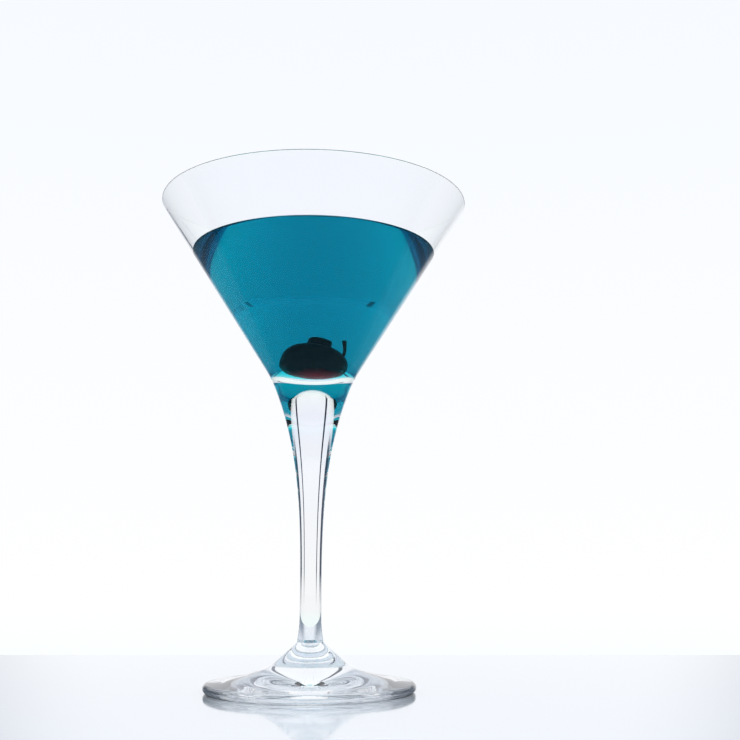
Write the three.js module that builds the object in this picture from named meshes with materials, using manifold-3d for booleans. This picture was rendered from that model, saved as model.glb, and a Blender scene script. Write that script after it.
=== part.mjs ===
// A stemmed cocktail glass with its drink and cherry. Millimetres, +Z up.
// The origin is the centre of the foot, on the surface that the glass stands on.
import * as THREE from 'three';
import { mergeVertices } from 'three/addons/utils/BufferGeometryUtils.js';
import Module from 'manifold-3d';

const wasm = await Module();
wasm.setup();

// Driving dimensions: the bowl
const glassHeight = 179.5;
const rimRadius = 57.5;
const coneAngle = THREE.MathUtils.degToRad(32.3); // from the axis to the outer wall
const lipWall = 1.3; // wall thickness at the lip
const floorHeight = 111.4; // inside, on the axis
const floorRadius = 14.2; // where the dished floor meets the wall
const floorDish = 6; // how far the floor rises from the axis to the wall

// The stem, whose flare ends at the knee, where the cone begins
const kneeHeight = 112.5;
const bowlSeamHeight = 107;
const footSeamHeight = 17;
const waistRadius = 3.85;
const flareStart = 30;
const flarePower = 3.1;
const swellTop = 28; // below this height the stem thickens towards the foot
const swellRadius = 0.9;

// The foot
const footRadius = 37.6;
const footEdgeRadius = 1.6; // the rounded edge is a half circle
const restingRingWidth = 5;
const undersideDish = 1.2;
const footShoulder = [[8.7, 13.4], [14, 9.2], [20, 6.5], [28, 4.3]]; // radius, height

// The drink and the cherry
const drinkLevel = 161;
const clearance = 0.3; // between pieces that lie in or on each other
const cherryRadius = 9.7;
const cherryHalfHeight = 7.5;
const cherryFullness = 2.8; // exponent of its upper outline: 2 is an ellipse, more is squarer
const cherryTilt = THREE.MathUtils.degToRad(12);
const lipRingRadius = 3.7; // the raised skin round the pit hole
const lipRingHeight = 3;
const pitDepth = 1.4;
const stalkRadius = 0.65;
const stalkLength = 5.8; // upright, above the skin
const stalkSpread = THREE.MathUtils.degToRad(50); // from the cherry's axis

// Facets round each piece
const wallSides = 48;
const stemSides = 32;
const cherrySides = 24;
const stalkSides = 8;

const lipRadius = lipWall / 2; // the lip is a half circle across the wall
const lipCentreRadius = rimRadius - lipRadius;
const lipCentreHeight = glassHeight - lipRadius;
const coneTopRadius = lipCentreRadius + lipRadius * Math.cos(coneAngle);
const coneTopHeight = lipCentreHeight - lipRadius * Math.sin(coneAngle);
const kneeRadius = coneTopRadius - (coneTopHeight - kneeHeight) * Math.tan(coneAngle);
const floorEdgeHeight = floorHeight + floorDish;
const cherryHeight = floorHeight + clearance + cherryRise();

// Height of the leaning cherry's centre above its lowest point
function cherryRise() {
  return Math.hypot(cherryHalfHeight * Math.cos(cherryTilt), cherryRadius * Math.sin(cherryTilt));
}

// A point of the cherry's outline, at an angle above its middle, grown by a gap
function cherryPoint(angle, gap) {
  const power = angle > 0 ? 2 / cherryFullness : 1;
  const r = (cherryRadius + gap) * Math.cos(angle) ** power;
  const z = (cherryHalfHeight + gap) * Math.abs(Math.sin(angle)) ** power;
  return new THREE.Vector2(r, angle > 0 ? z : -z);
}

// Outer radius of the stem and its flare at a height
function stemRadius(z) {
  const flare = Math.max(0, (z - flareStart) / (kneeHeight - flareStart));
  const swell = Math.max(0, (swellTop - z) / (swellTop - footSeamHeight));
  return waistRadius + (kneeRadius - waistRadius) * flare ** flarePower + swellRadius * swell ** 2;
}

function stemOutline(from, to, steps) {
  const points = [];
  for (let i = 0; i <= steps; i++) {
    const z = THREE.MathUtils.lerp(from, to, i / steps);
    points.push(new THREE.Vector2(stemRadius(z), z));
  }
  return points;
}

// The dished floor, from the axis out to the wall, raised and drawn in by a gap
function floorOutline(gap, steps) {
  const edge = floorRadius - gap;
  const points = [];
  for (let i = 0; i <= steps; i++) {
    const r = edge * i / steps;
    points.push(new THREE.Vector2(r, floorHeight + gap + floorDish * (r / edge) ** 2));
  }
  return points;
}

// Inner radius of the bowl's wall at a height
function innerRadius(z) {
  const run = lipCentreRadius - lipRadius - floorRadius;
  return floorRadius + run * (z - floorEdgeHeight) / (lipCentreHeight - floorEdgeHeight);
}

function revolve(outline, sides) {
  const geometry = new THREE.LatheGeometry(outline, sides);
  geometry.rotateX(Math.PI / 2);
  return geometry;
}

function bowlGeometry() {
  const outline = [new THREE.Vector2(0, bowlSeamHeight)];
  outline.push(...stemOutline(bowlSeamHeight, kneeHeight, 3));
  const lip = new THREE.Path();
  lip.absarc(lipCentreRadius, lipCentreHeight, lipRadius, -coneAngle, Math.PI - coneAngle);
  outline.push(...lip.getPoints(6));
  outline.push(...floorOutline(0, 5).reverse());
  return revolve(outline, wallSides);
}

function stemGeometry() {
  const outline = [new THREE.Vector2(0, footSeamHeight)];
  outline.push(...stemOutline(footSeamHeight, swellTop, 4));
  outline.push(...stemOutline(flareStart + 12, bowlSeamHeight, 14));
  outline.push(new THREE.Vector2(0, bowlSeamHeight));
  return revolve(outline, stemSides);
}

function footGeometry() {
  const ringOuter = footRadius - footEdgeRadius;
  const ringInner = ringOuter - restingRingWidth;
  const outline = [];
  for (let i = 0; i <= 4; i++) {
    const r = ringInner * i / 4;
    outline.push(new THREE.Vector2(r, undersideDish * (1 - (r / ringInner) ** 2)));
  }
  const edge = new THREE.Path();
  edge.absarc(ringOuter, footEdgeRadius, footEdgeRadius, -Math.PI / 2, Math.PI / 2);
  outline.push(...edge.getPoints(6));
  const shoulder = new THREE.SplineCurve([
    new THREE.Vector2(ringOuter, 2 * footEdgeRadius),
    ...footShoulder.map(([r, z]) => new THREE.Vector2(r, z)).reverse(),
    new THREE.Vector2(stemRadius(footSeamHeight), footSeamHeight),
  ]);
  outline.push(...shoulder.getPoints(12).slice(1));
  outline.push(new THREE.Vector2(0, footSeamHeight));
  return revolve(outline, wallSides);
}

// The cherry about its own axis, grown by a gap. Its centre is the origin.
function cherryGeometry(gap) {
  const ringAngle = Math.acos(((lipRingRadius + gap) / (cherryRadius + gap)) ** (cherryFullness / 2));
  const outline = [new THREE.Vector2(0, -cherryHalfHeight - gap)];
  for (let i = 1; i <= 14; i++) {
    outline.push(cherryPoint(THREE.MathUtils.lerp(-Math.PI / 2, ringAngle, i / 14), gap));
  }
  const top = cherryHalfHeight + gap * 2 + lipRingHeight;
  outline.push(new THREE.Vector2(lipRingRadius + gap - 0.3, top - 0.8));
  outline.push(new THREE.Vector2(lipRingRadius - 0.9, top - 0.4));
  outline.push(new THREE.Vector2(0, top - (gap ? 0.4 : pitDepth)));
  return place(revolve(outline, cherrySides));
}

// A short stalk that leaves the flesh sideways and bends upright, grown by a gap
function stalkGeometry(gap) {
  const up = new THREE.Vector3(-Math.sin(cherryTilt), 0, Math.cos(cherryTilt)); // upright once tilted
  const foot = cherryPoint(Math.PI / 2 - stalkSpread, 0);
  const base = new THREE.Vector3(foot.x, 0, foot.y);
  const start = base.clone().multiplyScalar(0.8);
  const bend = base.clone().multiplyScalar(1.08);
  const tip = base.clone().addScaledVector(up, stalkLength);
  const line = new THREE.QuadraticBezierCurve3(start, bend, tip);
  const section = new THREE.Shape();
  section.absellipse(0, 0, stalkRadius + gap, stalkRadius + gap, 0, 2 * Math.PI);
  const options = { steps: 6, curveSegments: stalkSides / 2, extrudePath: line, bevelEnabled: false };
  return place(new THREE.ExtrudeGeometry(section, options));
}

// Leans a cherry shape over and stands it on the floor of the bowl
function place(geometry) {
  geometry.rotateY(cherryTilt);
  geometry.translate(0, 0, cherryHeight);
  return geometry;
}

function drinkGeometry() {
  const foot = floorOutline(clearance, 5);
  const outline = [...foot, new THREE.Vector2(innerRadius(drinkLevel) - clearance, drinkLevel)];
  outline.push(new THREE.Vector2(0, drinkLevel));
  return cut(revolve(outline, wallSides), cherryGeometry(clearance), stalkGeometry(clearance));
}

function toSolid(geometry) {
  const bare = geometry.clone();
  bare.deleteAttribute('normal');
  bare.deleteAttribute('uv');
  const merged = mergeVertices(bare, 1e-4);
  const vertProperties = new Float32Array(merged.attributes.position.array);
  const triVerts = new Uint32Array(merged.index.array);
  return new wasm.Manifold(new wasm.Mesh({ numProp: 3, vertProperties, triVerts }));
}

// The first shape with the others taken out of it
function cut(geometry, ...tools) {
  let solid = toSolid(geometry);
  for (const tool of tools) {
    solid = solid.subtract(toSolid(tool));
  }
  const mesh = solid.getMesh();
  const result = new THREE.BufferGeometry();
  result.setAttribute('position', new THREE.BufferAttribute(new Float32Array(mesh.vertProperties), 3));
  result.setIndex(new THREE.BufferAttribute(new Uint32Array(mesh.triVerts), 1));
  result.computeVertexNormals();
  return result;
}

function finish(color, roughness, opacity) {
  const transparent = opacity < 1;
  return new THREE.MeshStandardMaterial({ color, roughness, metalness: 0, opacity, transparent });
}

const clearGlass = finish(0xeef4f6, 0.02, 0.3);
const blueDrink = finish(0x0a86a6, 0.02, 0.8);
const darkCherry = finish(0x3a0710, 0.25, 1);
const driedStalk = finish(0x2b2013, 0.7, 1);

function part(name, geometry, material) {
  const mesh = new THREE.Mesh(geometry, material);
  mesh.name = name;
  return mesh;
}

const glass = new THREE.Group();
glass.add(part('bowl', bowlGeometry(), clearGlass));
glass.add(part('stem', stemGeometry(), clearGlass));
glass.add(part('foot', footGeometry(), clearGlass));
glass.add(part('drink', drinkGeometry(), blueDrink));

const garnish = new THREE.Group();
garnish.add(part('cherry', cherryGeometry(0), darkCherry));
garnish.add(part('cherry_stalk', cut(stalkGeometry(0), cherryGeometry(clearance)), driedStalk));

const martiniGlass = new THREE.Group();
martiniGlass.add(glass, garnish);
export default martiniGlass;
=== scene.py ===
import math

import bmesh
import bpy
from mathutils import Matrix, Vector, noise


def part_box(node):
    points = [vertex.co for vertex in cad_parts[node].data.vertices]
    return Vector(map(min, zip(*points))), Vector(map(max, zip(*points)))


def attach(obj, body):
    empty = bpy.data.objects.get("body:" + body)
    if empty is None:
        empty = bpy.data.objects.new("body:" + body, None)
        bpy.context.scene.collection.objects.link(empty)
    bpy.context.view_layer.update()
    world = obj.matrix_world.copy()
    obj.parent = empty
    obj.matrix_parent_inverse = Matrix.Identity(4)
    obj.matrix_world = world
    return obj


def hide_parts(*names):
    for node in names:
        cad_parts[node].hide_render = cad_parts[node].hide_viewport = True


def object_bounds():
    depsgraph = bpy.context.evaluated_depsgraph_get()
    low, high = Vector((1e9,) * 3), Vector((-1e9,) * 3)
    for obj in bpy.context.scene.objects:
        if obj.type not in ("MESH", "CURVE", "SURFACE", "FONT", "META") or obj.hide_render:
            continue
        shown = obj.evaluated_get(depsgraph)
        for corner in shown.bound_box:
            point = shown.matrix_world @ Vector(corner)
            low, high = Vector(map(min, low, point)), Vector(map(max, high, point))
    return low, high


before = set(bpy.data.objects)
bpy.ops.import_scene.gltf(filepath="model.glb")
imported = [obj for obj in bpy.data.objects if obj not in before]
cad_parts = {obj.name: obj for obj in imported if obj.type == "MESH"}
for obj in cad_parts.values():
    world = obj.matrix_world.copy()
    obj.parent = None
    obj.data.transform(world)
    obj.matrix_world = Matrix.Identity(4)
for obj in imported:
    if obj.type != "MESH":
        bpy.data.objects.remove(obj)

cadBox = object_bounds()
mm = 0.001
print("frame loaded:", ", ".join(sorted(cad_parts)))


def boxOf(node):
    low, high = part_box(node)
    return Vector(low), Vector(high)


bowlLow, bowlHigh = boxOf("bowl")
stemLow = boxOf("stem")[0]
footHigh = boxOf("foot")[1]
drinkHigh = boxOf("drink")[1]
cherryLow = boxOf("cherry")[0]

rimRadius = bowlHigh.x
glassHeight = bowlHigh.z
bowlSeam = bowlLow.z
footSeam = stemLow.z


def arcPoints(centre, radius, fromAngle, toAngle, steps):
    points = []
    for i in range(steps + 1):
        a = fromAngle + (toAngle - fromAngle) * i / steps
        points.append((centre[0] + radius * math.cos(a), centre[1] + radius * math.sin(a)))
    return points


def linePoints(start, end, steps):
    # the points between the two ends, without the ends
    return [(start[0] + (end[0] - start[0]) * i / steps, start[1] + (end[1] - start[1]) * i / steps)
            for i in range(1, steps)]


def bezierPoints(start, corner, end, steps):
    start, corner, end = Vector(start), Vector(corner), Vector(end)
    points = []
    for i in range(steps + 1):
        t = i / steps
        p = start * (1 - t) ** 2 + corner * 2 * t * (1 - t) + end * t * t
        points.append((p.x, p.y))
    return points


def splinePoints(knots, steps):
    # Catmull-Rom through the knots, with this many steps to each span
    points = []
    ends = [knots[0]] + list(knots) + [knots[-1]]
    for i in range(1, len(ends) - 2):
        a, b, c, d = (Vector(k) for k in ends[i - 1:i + 3])
        for j in range(steps):
            t = j / steps
            p = 0.5 * (2 * b + (c - a) * t + (2 * a - 5 * b + 4 * c - d) * t ** 2
                       + (3 * b - a - 3 * c + d) * t ** 3)
            points.append((p.x, p.y))
    return points + [tuple(knots[-1])]


def addRing(bm, centre, corners):
    # a ring of points, or a single point where the ring has no width
    if (Vector(corners[0]) - Vector(corners[len(corners) // 2])).length < 1e-7:
        return [bm.verts.new(centre)]
    return [bm.verts.new(c) for c in corners]


def addBand(bm, low, high, slot, smooth):
    sides = max(len(low), len(high))
    for k in range(sides):
        n = (k + 1) % sides
        if len(low) == 1:
            face = bm.faces.new((low[0], high[n], high[k]))
        elif len(high) == 1:
            face = bm.faces.new((low[k], low[n], high[0]))
        else:
            face = bm.faces.new((low[k], low[n], high[n], high[k]))
        face.smooth = smooth
        face.material_index = slot


def finishPiece(bm, name, materials, body, node):
    bmesh.ops.recalc_face_normals(bm, faces=bm.faces)
    if bm.calc_volume(signed=True) < 0:
        bmesh.ops.reverse_faces(bm, faces=bm.faces)
    for edge in bm.edges:    # a flat face beside a smooth one meets it at a crisp edge
        edge.smooth = len({face.smooth for face in edge.link_faces}) == 1
    mesh = bpy.data.meshes.new(name)
    bm.to_mesh(mesh)
    bm.free()
    for mat in materials:
        mesh.materials.append(mat)
    piece = bpy.data.objects.new(name, mesh)
    bpy.context.collection.objects.link(piece)
    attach(piece, body)
    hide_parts(node)


def revolve(runs, sides):
    # turns an outline round Z; runs are (material, points), each starting where the last one ends
    bm = bmesh.new()
    materials = []
    last = None
    for mat, points in runs:
        if mat not in materials:
            materials.append(mat)
        for r, z in points:
            if last is not None and abs(r - last[1]) + abs(z - last[2]) < 1e-8:
                continue
            angles = [math.tau * k / sides for k in range(sides)]
            corners = [(r * math.cos(a), r * math.sin(a), z) for a in angles]
            ring = addRing(bm, (0, 0, z), corners)
            if last is not None:
                addBand(bm, last[0], ring, materials.index(mat), mat is not fusedSeam)
            last = ring, r, z
    return bm, materials


def newMaterial(name):
    mat = bpy.data.materials.new(name)
    mat.use_nodes = True
    nodes = mat.node_tree.nodes
    return mat, nodes, mat.node_tree.links, nodes["Principled BSDF"]


def newGroup(name, inputs, outputs):
    group = bpy.data.node_groups.new(name, "ShaderNodeTree")
    for key, value in inputs.items():
        kind = "NodeSocketColor" if isinstance(value, tuple) else "NodeSocketFloat"
        group.interface.new_socket(key, in_out="INPUT", socket_type=kind).default_value = value
    for key in outputs:
        kind = "NodeSocketColor" if key.endswith("Color") else "NodeSocketFloat"
        group.interface.new_socket(key, in_out="OUTPUT", socket_type=kind)
    nodes, links = group.nodes, group.links
    return group, nodes, links, nodes.new("NodeGroupInput"), nodes.new("NodeGroupOutput")


def addNoise(nodes, links, spot, scale, detail, roughness=0.5):
    cloud = nodes.new("ShaderNodeTexNoise")
    cloud.inputs["Detail"].default_value = detail
    cloud.inputs["Roughness"].default_value = roughness
    links.new(spot, cloud.inputs["Vector"])
    if isinstance(scale, (int, float)):
        cloud.inputs["Scale"].default_value = scale
    else:
        links.new(scale, cloud.inputs["Scale"])
    return cloud.outputs["Fac"]


def addRamp(nodes, links, source, low, high, toLow=0.0, toHigh=1.0, kind="LINEAR"):
    step = nodes.new("ShaderNodeMapRange")
    step.interpolation_type = kind
    for key, value in (("From Min", low), ("From Max", high), ("To Min", toLow), ("To Max", toHigh)):
        if isinstance(value, (int, float)):
            step.inputs[key].default_value = value
        else:
            links.new(value, step.inputs[key])
    links.new(source, step.inputs["Value"])
    return step.outputs["Result"]


def addMath(nodes, links, kind, first, second):
    step = nodes.new("ShaderNodeMath")
    step.operation = kind
    for i, value in enumerate((first, second)):
        if isinstance(value, (int, float)):
            step.inputs[i].default_value = value
        else:
            links.new(value, step.inputs[i])
    return step.outputs[0]


def addMix(nodes, links, factor, first, second):
    mix = nodes.new("ShaderNodeMix")
    mix.data_type = "RGBA"
    for key, value in (("Factor", factor), ("A", first), ("B", second)):
        if isinstance(value, (tuple, int, float)):
            mix.inputs[key].default_value = value
        else:
            links.new(value, mix.inputs[key])
    return mix.outputs["Result"]


def addSpot(nodes, links, stretch):
    # the place on the piece, with its height scaled so that a pattern can run up and down
    place = nodes.new("ShaderNodeTexCoord")
    parts = nodes.new("ShaderNodeSeparateXYZ")
    links.new(place.outputs["Object"], parts.inputs[0])
    spot = nodes.new("ShaderNodeCombineXYZ")
    links.new(parts.outputs["X"], spot.inputs["X"])
    links.new(parts.outputs["Y"], spot.inputs["Y"])
    links.new(addMath(nodes, links, "MULTIPLY", parts.outputs["Z"], stretch), spot.inputs["Z"])
    return spot.outputs[0]


def makeUnevenness():
    # slow waves and fine grain over a surface
    group, nodes, links, start, end = newGroup("surfaceUnevenness", {
        "Wave Scale": 40.0, "Grain Scale": 900.0, "Stretch": 1.0, "Grain Share": 0.3,
        "Rough Low": 0.0, "Rough High": 0.02,
    }, ("Height", "Roughness"))
    spot = addSpot(nodes, links, start.outputs["Stretch"])
    wave = addNoise(nodes, links, spot, start.outputs["Wave Scale"], 2.0)
    grain = addNoise(nodes, links, spot, start.outputs["Grain Scale"], 3.0)
    mix = nodes.new("ShaderNodeMix")
    links.new(start.outputs["Grain Share"], mix.inputs["Factor"])
    links.new(wave, mix.inputs["A"])
    links.new(grain, mix.inputs["B"])
    links.new(mix.outputs["Result"], end.inputs["Height"])
    rough = addRamp(nodes, links, mix.outputs["Result"], 0.45, 0.75,
                    start.outputs["Rough Low"], start.outputs["Rough High"])
    links.new(rough, end.inputs["Roughness"])
    return group


def makeSkin():
    # wet fruit skin: shallow wrinkles and pores, and painted light: a colour that deepens from low to high,
    # red on the low side for light that passes through the fruit
    group, nodes, links, start, end = newGroup("skinAndPaintedLight", {
        "Low Color": (0.1, 0.0, 0.0, 1), "High Color": (0.0, 0.0, 0.0, 1),
        "Low Height": 0.0, "High Height": 1.0, "Wrinkle Scale": 260.0, "Pore Scale": 2400.0,
    }, ("Color", "Height", "Roughness"))
    place = nodes.new("ShaderNodeTexCoord")
    wrinkle = addNoise(nodes, links, place.outputs["Object"], start.outputs["Wrinkle Scale"], 4.0, 0.6)
    pores = nodes.new("ShaderNodeTexVoronoi")
    links.new(place.outputs["Object"], pores.inputs["Vector"])
    links.new(start.outputs["Pore Scale"], pores.inputs["Scale"])
    parts = nodes.new("ShaderNodeSeparateXYZ")
    links.new(place.outputs["Object"], parts.inputs[0])
    # painted light: red at the bottom, for light that passes through the fruit, fading to the dark colour
    # higher up
    rise = addRamp(nodes, links, parts.outputs["Z"],
                   start.outputs["Low Height"], start.outputs["High Height"], kind="SMOOTHSTEP")
    blotch = addMath(nodes, links, "MULTIPLY", wrinkle, 0.35)
    links.new(addMix(nodes, links, addMath(nodes, links, "ADD", rise, blotch),
                     start.outputs["Low Color"], start.outputs["High Color"]), end.inputs["Color"])
    dimples = addMath(nodes, links, "MULTIPLY", pores.outputs["Distance"], 0.25)
    links.new(addMath(nodes, links, "ADD", wrinkle, dimples), end.inputs["Height"])
    links.new(addRamp(nodes, links, wrinkle, 0.3, 0.7, 0.22, 0.5), end.inputs["Roughness"])
    return group


def makeFibres():
    # lengthwise fibres of a dried stalk
    group, nodes, links, start, end = newGroup("stalkFibres", {
        "Dark Color": (0.01, 0.005, 0.0, 1), "Pale Color": (0.05, 0.03, 0.01, 1), "Fibre Scale": 3000.0,
    }, ("Color", "Height"))
    spot = addSpot(nodes, links, 0.12)
    fibre = addNoise(nodes, links, spot, start.outputs["Fibre Scale"], 3.0, 0.6)
    links.new(addMix(nodes, links, addRamp(nodes, links, fibre, 0.35, 0.7),
                     start.outputs["Dark Color"], start.outputs["Pale Color"]), end.inputs["Color"])
    links.new(fibre, end.inputs["Height"])
    return group


unevenness = makeUnevenness()
skinAndPaintedLight = makeSkin()
stalkFibres = makeFibres()


def addGroup(nodes, group, settings):
    node = nodes.new("ShaderNodeGroup")
    node.node_tree = group
    for key, value in settings.items():
        node.inputs[key].default_value = value
    return node


def addBump(nodes, links, shader, height, strength, distance):
    bump = nodes.new("ShaderNodeBump")
    bump.inputs["Strength"].default_value = strength
    bump.inputs["Distance"].default_value = distance
    links.new(height, bump.inputs["Height"])
    links.new(bump.outputs["Normal"], shader.inputs["Normal"])


glassFinish = {
    "ior": 1.52,
    "liquidIor": 1.345,
    "color": (0.985, 0.995, 1.0, 1),
    "waveScale": 28.0,
    "drawnStretch": 0.15,    # drawn glass is smoother along the stem than round it
    "bumpStrength": 0.05,
    "bumpDistance": 0.0002,
    "smudgeRoughness": 0.01,
}


def makeGlass(name, ior, bumpShare=1.0):
    mat, nodes, links, shader = newMaterial(name)
    shader.inputs["Base Color"].default_value = glassFinish["color"]
    shader.inputs["Transmission Weight"].default_value = 1
    shader.inputs["IOR"].default_value = ior
    group = addGroup(nodes, unevenness, {
        "Wave Scale": glassFinish["waveScale"],
        "Stretch": glassFinish["drawnStretch"],
        "Grain Share": 0.0,
        "Rough Low": 0.0,
        "Rough High": glassFinish["smudgeRoughness"],
    })
    links.new(group.outputs["Roughness"], shader.inputs["Roughness"])
    addBump(nodes, links, shader, group.outputs["Height"],
            glassFinish["bumpStrength"] * bumpShare, glassFinish["bumpDistance"])
    return mat


def makeSeam():
    # where two gathers of glass are fused there is no surface left to see
    mat = bpy.data.materials.new("fusedSeam")
    mat.use_nodes = True
    nodes, links = mat.node_tree.nodes, mat.node_tree.links
    nodes.clear()
    clear = nodes.new("ShaderNodeBsdfTransparent")
    end = nodes.new("ShaderNodeOutputMaterial")
    links.new(clear.outputs[0], end.inputs["Surface"])
    return mat


clearGlass = makeGlass("clearGlass", glassFinish["ior"])
wetGlass = makeGlass("wetGlass", glassFinish["ior"] / glassFinish["liquidIor"], 0.5)    # from glass to drink
fusedSeam = makeSeam()

stem = {
    "waistRadius": 3.85 * mm,
    "flareStart": 30 * mm,
    "flarePower": 3.1,
    "kneeHeight": 112.5 * mm,
    "kneeBlend": 3.5 * mm,
    "swellTop": 28 * mm,
    "swellRadius": 0.9 * mm,
    "sides": 128,
    "steps": 120,
}
bowl = {
    "coneAngle": math.radians(32.3),
    "lipWall": 1.3 * mm,
    "floorHeight": 111.4 * mm,
    "floorRadius": 14.2 * mm,
    "floorDish": 6 * mm,
    "floorFillet": 1.5 * mm,    # rounds the corner between floor and wall
    "floorSteps": 24,
    "sides": 192,
}
lipRadius = bowl["lipWall"] / 2
lipCentre = (rimRadius - lipRadius, glassHeight - lipRadius)
coneTop = (lipCentre[0] + lipRadius * math.cos(bowl["coneAngle"]),
           lipCentre[1] - lipRadius * math.sin(bowl["coneAngle"]))


def coneRadius(z):
    return coneTop[0] - (coneTop[1] - z) * math.tan(bowl["coneAngle"])


def stemRadius(z):
    flare = max(0, (z - stem["flareStart"]) / (stem["kneeHeight"] - stem["flareStart"]))
    swell = max(0, (stem["swellTop"] - z) / (stem["swellTop"] - footSeam))
    knee = coneRadius(stem["kneeHeight"])
    return (stem["waistRadius"] + (knee - stem["waistRadius"]) * flare ** stem["flarePower"]
            + stem["swellRadius"] * swell ** 2)


def stemSide(low, high, steps):
    return [(stemRadius(z), z) for z in (low + (high - low) * i / steps for i in range(steps + 1))]


def makeStem():
    side = stemSide(footSeam, bowlSeam, stem["steps"])
    bm, materials = revolve([
        (fusedSeam, [(0, footSeam), side[0]]),
        (clearGlass, side),
        (fusedSeam, [side[-1], (0, bowlSeam)]),
    ], stem["sides"])
    finishPiece(bm, "stemGlass", materials, "glass", "stem")


def innerRadius(z):
    floorEdge = bowl["floorHeight"] + bowl["floorDish"]
    run = lipCentre[0] - lipRadius - bowl["floorRadius"]
    return bowl["floorRadius"] + run * (z - floorEdge) / (lipCentre[1] - floorEdge)


def floorZ(r):
    return bowl["floorHeight"] + bowl["floorDish"] * (r / bowl["floorRadius"]) ** 2


def innerOutline(top):
    # the inside of the bowl, from its wall at the height top down to the axis
    cut = bowl["floorFillet"]
    edge = bowl["floorRadius"]
    corner = (edge, floorZ(edge))
    wallFoot = (innerRadius(corner[1] + cut), corner[1] + cut)
    inner = (edge - cut, floorZ(edge - cut))
    points = [(innerRadius(top), top)]
    points += linePoints(points[0], wallFoot, 40)
    points += bezierPoints(wallFoot, corner, inner, 10)
    for i in range(1, bowl["floorSteps"] + 1):
        r = inner[0] * (1 - i / bowl["floorSteps"])
        points.append((r, floorZ(r)))
    return points


def makeBowl():
    low = stem["kneeHeight"] - stem["kneeBlend"]
    high = stem["kneeHeight"] + stem["kneeBlend"]
    knee = (coneRadius(stem["kneeHeight"]), stem["kneeHeight"])
    outside = stemSide(bowlSeam, low, 8)
    outside += bezierPoints(outside[-1], knee, (coneRadius(high), high), 16)
    outside += linePoints(outside[-1], coneTop, 24)
    outside += arcPoints(lipCentre, lipRadius, -bowl["coneAngle"], math.pi - bowl["coneAngle"], 16)
    waterline = drinkHigh.z + drink["meniscusRise"]
    outside.append((innerRadius(waterline), waterline))
    bm, materials = revolve([
        (fusedSeam, [(0, bowlSeam), outside[0]]),
        (clearGlass, outside),
        (wetGlass, innerOutline(waterline)),
    ], bowl["sides"])
    finishPiece(bm, "bowlGlass", materials, "glass", "bowl")


foot = {
    "edgeRadius": 1.6 * mm,
    "ringWidth": 5 * mm,
    "dish": 1.2 * mm,
    "shoulder": ((28, 4.3), (20, 6.5), (14, 9.2), (8.7, 13.4)),    # radius and height in millimetres
    "dishSteps": 24,
    "sides": 192,
}


def makeFoot():
    ringOuter = footHigh.x - foot["edgeRadius"]
    ringInner = ringOuter - foot["ringWidth"]
    outline = []
    for i in range(foot["dishSteps"] + 1):
        r = ringInner * i / foot["dishSteps"]
        outline.append((r, foot["dish"] * (1 - (r / ringInner) ** 2)))
    edgeCentre = (ringOuter, foot["edgeRadius"])
    outline += arcPoints(edgeCentre, foot["edgeRadius"], -math.pi / 2, math.pi / 2, 24)
    knots = [(ringOuter, 2 * foot["edgeRadius"])]
    knots += [(r * mm, z * mm) for r, z in foot["shoulder"]]
    knots.append((stemRadius(footSeam), footSeam))
    outline += splinePoints(knots, 12)[1:]
    bm, materials = revolve([
        (clearGlass, outline),
        (fusedSeam, [outline[-1], (0, footSeam)]),
    ], foot["sides"])
    finishPiece(bm, "footGlass", materials, "glass", "foot")


drink = {
    "absorption": (0.0, 0.908, 0.936, 1),
    "density": 250.0,
    "cloud": (0.0, 0.7, 0.95, 1),    # painted glow: the drink gives off a weak light of its own that lightens its dark corners
    "paintedGlowStrength": 0.009,
    "sideIor": 1.001,    # the wet glass does the bending, so the liquid's side adds none
    "meniscusRise": 0.25 * mm,
    "meniscusWidth": 1.2 * mm,
    "meniscusPower": 2.5,
    "surfaceSteps": 12,
    "rippleScale": 60.0,
    "rippleStrength": 0.04,
    "rippleDistance": 0.2 * mm,
    "gap": 0.01 * mm,    # to the bowl's wall
    "sides": 192,
}


def makeLiquid(name, ior):
    mat, nodes, links, shader = newMaterial(name)
    shader.inputs["Base Color"].default_value = (1, 1, 1, 1)
    shader.inputs["Transmission Weight"].default_value = 1
    shader.inputs["IOR"].default_value = ior
    shader.inputs["Roughness"].default_value = 0
    # painted glow: the liquid gives off a weak light of its own
    shader.inputs["Emission Color"].default_value = drink["cloud"]
    shader.inputs["Emission Strength"].default_value = drink["paintedGlowStrength"]
    group = addGroup(nodes, unevenness, {"Wave Scale": drink["rippleScale"], "Grain Share": 0.0})
    addBump(nodes, links, shader, group.outputs["Height"], drink["rippleStrength"], drink["rippleDistance"])
    tint = nodes.new("ShaderNodeVolumeAbsorption")
    tint.inputs["Color"].default_value = drink["absorption"]
    tint.inputs["Density"].default_value = drink["density"]
    links.new(tint.outputs[0], nodes["Material Output"].inputs["Volume"])
    return mat


def makeDrink():
    level, rise = drinkHigh.z, drink["meniscusRise"]
    gap, steps = drink["gap"], drink["surfaceSteps"]
    wall = reversed(innerOutline(level + rise - gap))
    side = [(max(r - gap, 0), z + gap) for r, z in wall]
    surface = [side[-1]]
    for i in range(1, steps + 1):
        t = i / steps
        r = side[-1][0] - drink["meniscusWidth"] * t
        surface.append((r, level + rise * (1 - t) ** drink["meniscusPower"]))
    last = surface[-1][0]
    surface += [(last * (1 - i / steps), level) for i in range(1, steps + 1)]
    bm, materials = revolve([
        (makeLiquid("blueDrink", drink["sideIor"]), side),
        (makeLiquid("blueDrinkSurface", glassFinish["liquidIor"]), surface),
    ], drink["sides"])
    finishPiece(bm, "drinkLiquid", materials, "glass", "drink")


makeBowl()
makeStem()
makeFoot()
print("glass made: bowl, stem and foot")
makeDrink()
print("drink poured")

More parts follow.
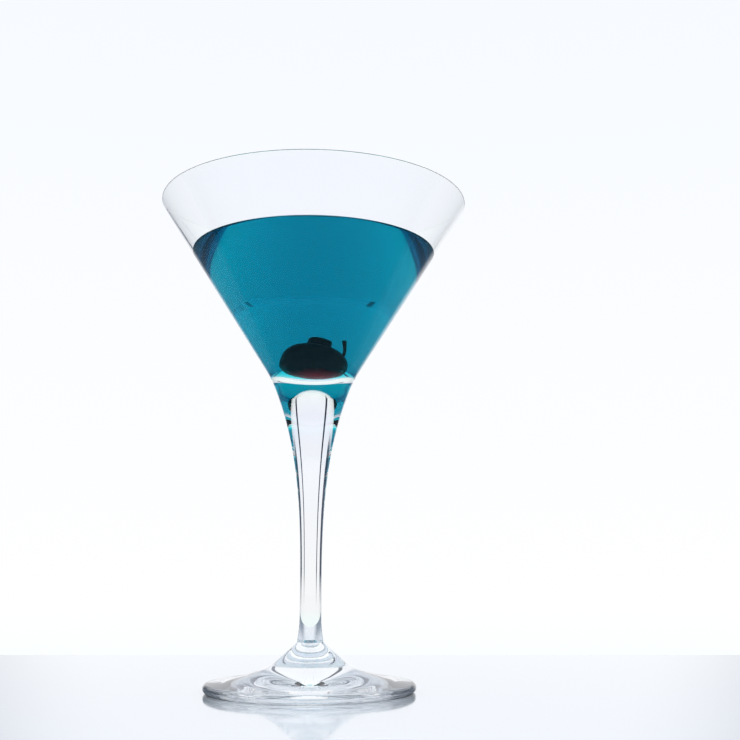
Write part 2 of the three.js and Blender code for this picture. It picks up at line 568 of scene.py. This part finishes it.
cherry = {
    "radius": 9.7 * mm,
    "halfHeight": 7.5 * mm,
    "fullness": 2.8,    # exponent of the upper outline: 2 is an ellipse, more is squarer
    "tilt": math.radians(12),
    "cap": ((4.5, 7.15), (3.8, 7.7), (3.55, 8.8), (3.5, 9.7), (3.15, 10.15),    # radius and height
            (2.5, 10.0), (1.6, 9.3), (0.7, 9.0), (0.0, 8.9)),
    "lumpSize": 0.22 * mm,
    "lumpScale": 230.0,
    "puckerScale": 900.0,    # fine folds on the raised skin round the pit hole
    "puckerFrom": 7 * mm,
    "bumpStrength": 0.4,
    "bumpDistance": 0.6 * mm,
    # painted light: the cherry's low side is painted red, for light that passes through the fruit, and fades
    # to the dark colour above
    "paintedLightColor": (0.6, 0.006, 0.02, 1),
    "highColor": (0.002, 0.0002, 0.0004, 1),
    "paintedLightDepth": 5 * mm,
    "ior": 1.1,    # wet skin inside the drink hardly shines
    "sides": 96,
}
stalk = {
    "radius": 0.65 * mm,
    "length": 5.8 * mm,
    "spread": math.radians(50),    # from the cherry's axis
    "endFlare": 1.35,
    "sides": 24,
    "steps": 28,
    "roughness": 0.7,
    "bumpStrength": 0.6,
    "bumpDistance": 0.2 * mm,
    "darkColor": (0.012, 0.006, 0.003, 1),
    "paleColor": (0.06, 0.03, 0.015, 1),
}
# how far the leaning cherry's centre is above its lowest point
cherryRise = math.hypot(cherry["halfHeight"] * math.cos(cherry["tilt"]),
                        cherry["radius"] * math.sin(cherry["tilt"]))
cherryPlace = (Matrix.Translation((0, 0, cherryLow.z + cherryRise))
               @ Matrix.Rotation(cherry["tilt"], 4, "Y"))


def makeCherryMaterial():
    mat, nodes, links, shader = newMaterial("cherrySkin")
    group = addGroup(nodes, skinAndPaintedLight, {
        "Low Color": cherry["paintedLightColor"],
        "High Color": cherry["highColor"],
        "Low Height": cherryLow.z,
        "High Height": cherryLow.z + cherry["paintedLightDepth"],
    })
    links.new(group.outputs["Color"], shader.inputs["Base Color"])
    links.new(group.outputs["Roughness"], shader.inputs["Roughness"])
    shader.inputs["IOR"].default_value = cherry["ior"]
    addBump(nodes, links, shader, group.outputs["Height"], cherry["bumpStrength"], cherry["bumpDistance"])
    return mat


def makeStalkMaterial():
    mat, nodes, links, shader = newMaterial("driedStalk")
    group = addGroup(nodes, stalkFibres, {
        "Dark Color": stalk["darkColor"],
        "Pale Color": stalk["paleColor"],
    })
    links.new(group.outputs["Color"], shader.inputs["Base Color"])
    shader.inputs["Roughness"].default_value = stalk["roughness"]
    shader.inputs["IOR"].default_value = cherry["ior"]
    addBump(nodes, links, shader, group.outputs["Height"], stalk["bumpStrength"], stalk["bumpDistance"])
    return mat


def cherryPoint(angle):
    power = 2 / cherry["fullness"] if angle > 0 else 1
    height = cherry["halfHeight"] * abs(math.sin(angle)) ** power
    return cherry["radius"] * math.cos(angle) ** power, math.copysign(height, angle)


def makeCherry():
    neck = math.acos((cherry["cap"][0][0] * mm / cherry["radius"]) ** (cherry["fullness"] / 2))
    outline = [(0, -cherry["halfHeight"])]
    outline += [cherryPoint(-math.pi / 2 + (neck + math.pi / 2) * i / 60) for i in range(1, 60)]
    outline += splinePoints([(r * mm, z * mm) for r, z in cherry["cap"]], 5)
    bm, materials = revolve([(makeCherryMaterial(), outline)], cherry["sides"])
    for vert in bm.verts:
        p = vert.co
        lump = noise.noise(p * cherry["lumpScale"]) + 0.5 * noise.noise(p * cherry["lumpScale"] * 2.7)
        pucker = 0
        if p.z > cherry["puckerFrom"]:
            pucker = 0.4 * noise.noise(Vector((p.x, p.y, 0)) * cherry["puckerScale"])
        vert.co = p + p.normalized() * cherry["lumpSize"] * (lump * 0.6 - 0.25 + pucker)
    bm.transform(cherryPlace)
    finishPiece(bm, "cherryFlesh", materials, "garnish", "cherry")


def makeStalk():
    # upright once the cherry is tilted
    up = Vector((-math.sin(cherry["tilt"]), 0, math.cos(cherry["tilt"])))
    across = Vector((0, 1, 0))
    r, z = cherryPoint(math.pi / 2 - stalk["spread"])
    root = Vector((r, 0, z))
    start, bend, tip = root * 0.94, root * 1.06, root + up * stalk["length"]
    bm = bmesh.new()
    sides, steps = stalk["sides"], stalk["steps"]
    last = None
    for i in range(-1, steps + 2):
        t = min(max(i / steps, 0), 1)
        middle = start * (1 - t) ** 2 + bend * 2 * t * (1 - t) + tip * t * t
        along = ((bend - start) * (1 - t) + (tip - bend) * t).normalized()
        out = across.cross(along).normalized()
        knot = 1 + 0.12 * noise.noise(middle * 700) + (stalk["endFlare"] - 1) * max(0, t - 0.8) / 0.2
        radius = 0 if i in (-1, steps + 1) else stalk["radius"] * 0.85 * knot
        corners = [middle + (across * math.cos(k) + out * math.sin(k)) * radius
                   for k in (math.tau * j / sides for j in range(sides))]
        ring = addRing(bm, middle, corners)
        if last is not None:
            addBand(bm, last, ring, 0, 0 <= i - 1 < steps)
        last = ring
    bm.transform(cherryPlace)
    finishPiece(bm, "cherryStalk", [makeStalkMaterial()], "garnish", "cherry_stalk")


makeCherry()
makeStalk()
print("cherry and stalk made")

camera = {
    "place": (0.02130, -0.3858, 0.0446),
    "pitch": math.radians(90 + 10.42),
    "lens": 51.1,
    "sensor": 36,
}
bounces = {"max_bounces": 96, "transmission_bounces": 96, "glossy_bounces": 12, "transparent_max_bounces": 24}
floorLook = {
    # painted sheen: the floor's colour is paler where it is seen at a grazing angle, and darker and bluer
    # where seen from above
    "steepColor": (0.75, 0.82, 0.92, 1),
    "grazingColor": (0.9, 0.93, 0.98, 1),
    "paintedReflectionColor": (0.04, 0.06, 0.1, 1),    # painted reflection: reflections show the floor in this dark navy, while the camera sees it pale
    "shine": 0.55,
    "roughLow": 0.05,
    "roughHigh": 0.12,
    "waveScale": 9.0,
    "grainScale": 420.0,
    "grainShare": 0.4,
    "left": -1.2, "right": 1.2, "front": -1.2, "back": 0.152,
    "gap": 0.1 * mm,    # the floor stays this far below the glass, so that no two faces share a place
}
sky = {
    "bands": (    # the sine of the height above the horizon, and the colour there
        (-0.12, (0.95, 1.04, 1.02, 1)),
        (-0.04, (1.0, 1.0, 1.0, 1)),
        (0.5, (0.93, 0.96, 1.05, 1)),
        (0.72, (1.1, 1.16, 1.14, 1)),
        (0.93, (1.0, 1.04, 1.05, 1)),
    ),
    "room": (0.5, 0.55, 0.62, 1),    # to the sides and behind the camera
    "mirroredRoom": (0.12, 0.16, 0.22, 1),    # the same as reflections show it
    "roomFrom": 0.2, "roomTo": 0.4,    # the lit side begins between these, along Y
    "mirroredFrom": 0.86, "mirroredTo": 0.97,    # the same for reflections, which see less of it
    "mirroredTopFrom": 0.18, "mirroredTopTo": 0.3,    # but see it whole above this height
    "ceilingFrom": 0.3, "ceilingTo": 0.65,    # the ceiling is lit all round
    "edges": (    # dark strips that the glass shows: X over Y from and to, and the sine of their top
        (0.44, 0.51, 0.75),
        (1.0, 6.0, 0.5),
    ),
    "edge": (0.03, 0.04, 0.07, 1),
    "edgeSoftness": 0.01,
    "edgeFade": 0.1,    # below their top
    "edgeFootFrom": -0.04, "edgeFootTo": 0.0,    # where the strips begin, at the horizon
}


def makeCamera():
    cam = bpy.data.objects.new("camera", bpy.data.cameras.new("camera"))
    bpy.context.collection.objects.link(cam)
    cam.location = camera["place"]
    cam.rotation_euler = (camera["pitch"], 0, 0)
    cam.data.lens = camera["lens"]
    cam.data.sensor_width = camera["sensor"]
    bpy.context.scene.camera = cam
    for key, count in bounces.items():    # light turns many times inside solid glass
        setattr(bpy.context.scene.cycles, key, count)


def makeFloor():
    mat, nodes, links, shader = newMaterial("paleFloor")
    # painted sheen: the base colour goes from the steep colour to the paler grazing one by the angle the
    # floor is seen at
    facing = nodes.new("ShaderNodeLayerWeight")
    facing.inputs["Blend"].default_value = 0.5
    grazing = addRamp(nodes, links, facing.outputs["Facing"], 0.45, 0.85)
    tone = addMix(nodes, links, grazing, floorLook["steepColor"], floorLook["grazingColor"])
    # painted reflection: rays that come by reflection see the floor dark navy instead of pale
    path = nodes.new("ShaderNodeLightPath")
    links.new(addMix(nodes, links, path.outputs["Is Reflection Ray"], tone, floorLook["paintedReflectionColor"]),
              shader.inputs["Base Color"])
    shader.inputs["Metallic"].default_value = floorLook["shine"]
    group = addGroup(nodes, unevenness, {
        "Wave Scale": floorLook["waveScale"],
        "Grain Scale": floorLook["grainScale"],
        "Grain Share": floorLook["grainShare"],
        "Rough Low": floorLook["roughLow"],
        "Rough High": floorLook["roughHigh"],
    })
    links.new(group.outputs["Roughness"], shader.inputs["Roughness"])
    mesh = bpy.data.meshes.new("floor")
    f = floorLook
    z = cadBox[0][2] - f["gap"]
    mesh.from_pydata([(f["left"], f["front"], z), (f["right"], f["front"], z),
                      (f["right"], f["back"], z), (f["left"], f["back"], z)], [], [(0, 1, 2, 3)])
    mesh.materials.append(mat)
    floor = bpy.data.objects.new("floor", mesh)
    bpy.context.collection.objects.link(floor)


def addEdges(nodes, links, parts, path):
    # upright dark strips either side of the middle, seen only by light that passes through glass
    ahead = addMath(nodes, links, "MAXIMUM", parts.outputs["Y"], 0.02)
    ratio = addMath(nodes, links, "DIVIDE", parts.outputs["X"], ahead)
    away = addMath(nodes, links, "ABSOLUTE", ratio, 0.0)
    soft = sky["edgeSoftness"]
    strips = 0.0
    for near, far, top in sky["edges"]:
        past = addRamp(nodes, links, away, near - soft, near, kind="SMOOTHSTEP")
        short = addRamp(nodes, links, away, far, far + soft, 1.0, 0.0, kind="SMOOTHSTEP")
        across = addMath(nodes, links, "MULTIPLY", past, short)
        below = addRamp(nodes, links, parts.outputs["Z"], top - sky["edgeFade"], top, 1.0, 0.0)
        strip = addMath(nodes, links, "MULTIPLY", across, below)
        strips = addMath(nodes, links, "MAXIMUM", strips, strip)
    above = addRamp(nodes, links, parts.outputs["Z"], sky["edgeFootFrom"], sky["edgeFootTo"])
    strips = addMath(nodes, links, "MULTIPLY", strips, above)
    return addMath(nodes, links, "MULTIPLY", strips, path.outputs["Is Transmission Ray"])


def makeWorld():
    world = bpy.data.worlds.new("studio")
    bpy.context.scene.world = world
    world.use_nodes = True
    nodes, links = world.node_tree.nodes, world.node_tree.links
    place = nodes.new("ShaderNodeTexCoord")
    parts = nodes.new("ShaderNodeSeparateXYZ")
    links.new(place.outputs["Generated"], parts.inputs[0])
    path = nodes.new("ShaderNodeLightPath")
    toY, toZ = parts.outputs["Y"], parts.outputs["Z"]
    reflected = path.outputs["Is Reflection Ray"]
    seen = addRamp(nodes, links, toY, sky["roomFrom"], sky["roomTo"], kind="SMOOTHSTEP")
    narrow = addRamp(nodes, links, toY, sky["mirroredFrom"], sky["mirroredTo"], kind="SMOOTHSTEP")
    high = addRamp(nodes, links, toZ, sky["mirroredTopFrom"], sky["mirroredTopTo"])
    mirrored = addMath(nodes, links, "MAXIMUM", narrow, high)
    share = addRamp(nodes, links, reflected, 0.0, 1.0, 1.0, mirrored)
    ahead = addMath(nodes, links, "MULTIPLY", seen, share)
    above = addRamp(nodes, links, toZ, sky["ceilingFrom"], sky["ceilingTo"], kind="SMOOTHSTEP")
    lit = addMath(nodes, links, "MAXIMUM", ahead, above)
    height = nodes.new("ShaderNodeValToRGB")
    bands = height.color_ramp.elements
    for i, (level, color) in enumerate(sky["bands"]):
        band = bands[i] if i < 2 else bands.new(level / 2 + 0.5)
        band.position = level / 2 + 0.5
        band.color = color
    links.new(addRamp(nodes, links, toZ, -1.0, 1.0), height.inputs["Fac"])
    strips = addEdges(nodes, links, parts, path)
    front = addMix(nodes, links, strips, height.outputs["Color"], sky["edge"])
    room = addMix(nodes, links, reflected, sky["room"], sky["mirroredRoom"])
    links.new(addMix(nodes, links, lit, room, front), nodes["Background"].inputs["Color"])
    bpy.context.scene.view_settings.view_transform = "Standard"


makeCamera()
makeFloor()
makeWorld()
print("camera, floor and light set")
